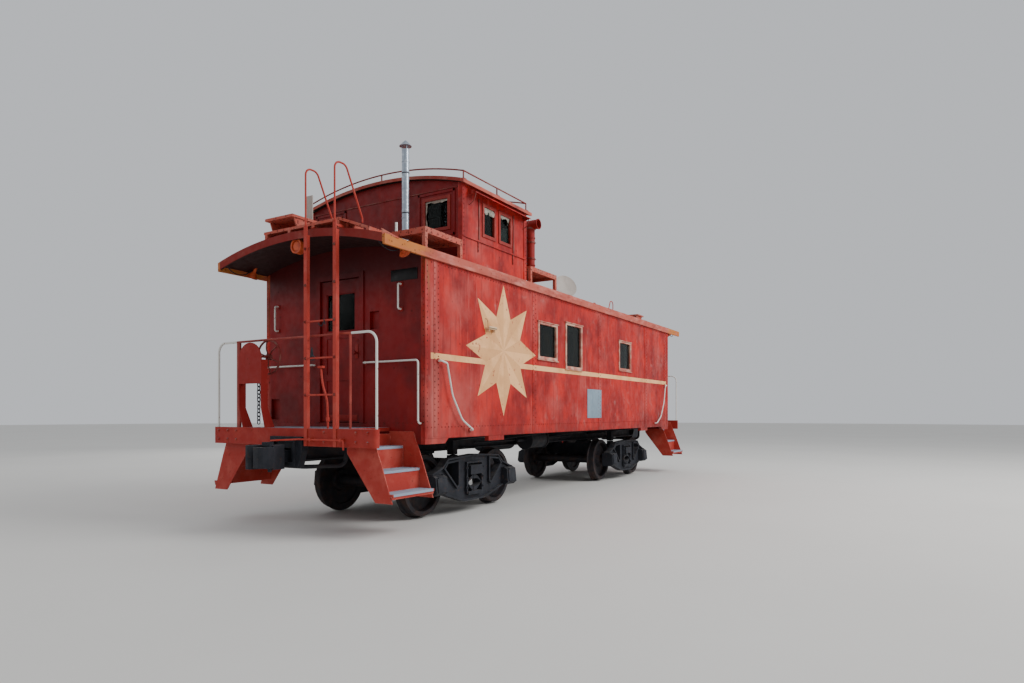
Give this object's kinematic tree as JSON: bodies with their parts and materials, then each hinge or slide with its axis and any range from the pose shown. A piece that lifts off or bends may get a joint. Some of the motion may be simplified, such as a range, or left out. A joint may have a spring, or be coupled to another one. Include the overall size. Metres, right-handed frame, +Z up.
{
  "type": "railway caboose",
  "caption": "Steel railway caboose with an arched roof, an off-centre cupola, end platforms with steps, ladders and brake stands, and swivelling trucks with leaf springs.",
  "frame": {"origin": "on the floor under the middle of the car, at the level of the wheel flanges", "axes": "+X along the car towards the plain end, away from the cupola; +Y to the left; +Z up"},
  "size_m": [11.804, 3.12, 4.9648],
  "materials": {
    "red_paint": "faded satin",
    "white_paint": "satin",
    "grey_paint": "satin",
    "truck_iron": "weathered paint",
    "wheel_steel": "rusted",
    "underframe_black": "matt",
    "floor_wood": "worn",
    "galvanised": "spangled",
    "window_glass": "clear",
    "furniture_green": "satin"
  },
  "bodies": {
    "car_body": {"aerials": "grey_paint", "brake_stand_front": "red_paint", "brake_stand_rear": "red_paint", "brake_wheels": "red_paint", "cabin_floor": "floor_wood", "cabin_furniture": "furniture_green", "centre_sills": "underframe_black", "coupler_front": "truck_iron", "coupler_rear": "truck_iron", "cross_members": "underframe_black", "cupola_end_front": "red_paint", "cupola_end_rear": "red_paint", "cupola_rail": "red_paint", "cupola_roof": "red_paint", "cupola_side_left": "red_paint", "cupola_side_right": "red_paint", "cupola_visors": "red_paint", "draft_gears": "truck_iron", "end_lamps": "white_paint", "end_railing_front": "red_paint", "end_railing_rear": "red_paint", "end_wall_front": "red_paint", "end_wall_rear": "red_paint", "grab_rails": "white_paint", "ladder_front": "red_paint", "ladder_rear": "red_paint", "main_roof": "red_paint", "platform_front": "red_paint", "platform_rear": "red_paint", "roof_walks": "red_paint", "side_sills": "underframe_black", "side_wall_left": "red_paint", "side_wall_right": "red_paint", "smoke_jack": "red_paint", "steps_front": "red_paint", "steps_rear": "red_paint", "stove": "truck_iron", "stovepipe": "galvanised", "uncoupling_levers": "truck_iron", "underfloor_gear": "underframe_black", "window_frames": "red_paint", "window_glass": "window_glass"},
    "truck_rear": {"truck_rear_bolster": "truck_iron", "truck_rear_frame_left": "truck_iron", "truck_rear_frame_right": "truck_iron", "truck_rear_springs": "truck_iron"},
    "truck_front": {"truck_front_bolster": "truck_iron", "truck_front_frame_left": "truck_iron", "truck_front_frame_right": "truck_iron", "truck_front_springs": "truck_iron"},
    "wheelset_1": {"axle_1": "wheel_steel", "wheels_1": "wheel_steel"},
    "wheelset_2": {"axle_2": "wheel_steel", "wheels_2": "wheel_steel"},
    "wheelset_3": {"axle_3": "wheel_steel", "wheels_3": "wheel_steel"},
    "wheelset_4": {"axle_4": "wheel_steel", "wheels_4": "wheel_steel"},
    "door_rear": {"door_rear": "red_paint"},
    "door_front": {"door_front": "red_paint"}
  },
  "joints": [
    {"name": "truck_rear_swivel", "type": "hinge", "parent": "car_body", "child": "truck_rear", "pos_m": [-2.952, 0, 0.76], "axis": [0, 0, 1], "range_deg": [-8, 8]},
    {"name": "door_rear_hinge", "type": "hinge", "parent": "car_body", "child": "door_rear", "pos_m": [-4.495, 0.347, 2.2], "axis": [0, 0, 1], "range_deg": [0, 100]},
    {"name": "truck_front_swivel", "type": "hinge", "parent": "car_body", "child": "truck_front", "pos_m": [2.952, 0, 0.76], "axis": [0, 0, 1], "range_deg": [-8, 8]},
    {"name": "door_front_hinge", "type": "hinge", "parent": "car_body", "child": "door_front", "pos_m": [4.495, -0.347, 2.2], "axis": [0, 0, 1], "range_deg": [0, 100]},
    {"name": "wheelset_1_spin", "type": "hinge", "parent": "truck_rear", "child": "wheelset_1", "pos_m": [-3.841, 0, 0.444], "axis": [0, 1, 0], "continuous": true},
    {"name": "wheelset_2_spin", "type": "hinge", "parent": "truck_rear", "child": "wheelset_2", "pos_m": [-2.063, 0, 0.444], "axis": [0, 1, 0], "continuous": true},
    {"name": "wheelset_3_spin", "type": "hinge", "parent": "truck_front", "child": "wheelset_3", "pos_m": [2.063, 0, 0.444], "axis": [0, 1, 0], "continuous": true},
    {"name": "wheelset_4_spin", "type": "hinge", "parent": "truck_front", "child": "wheelset_4", "pos_m": [3.841, 0, 0.444], "axis": [0, 1, 0], "continuous": true}
  ]
}
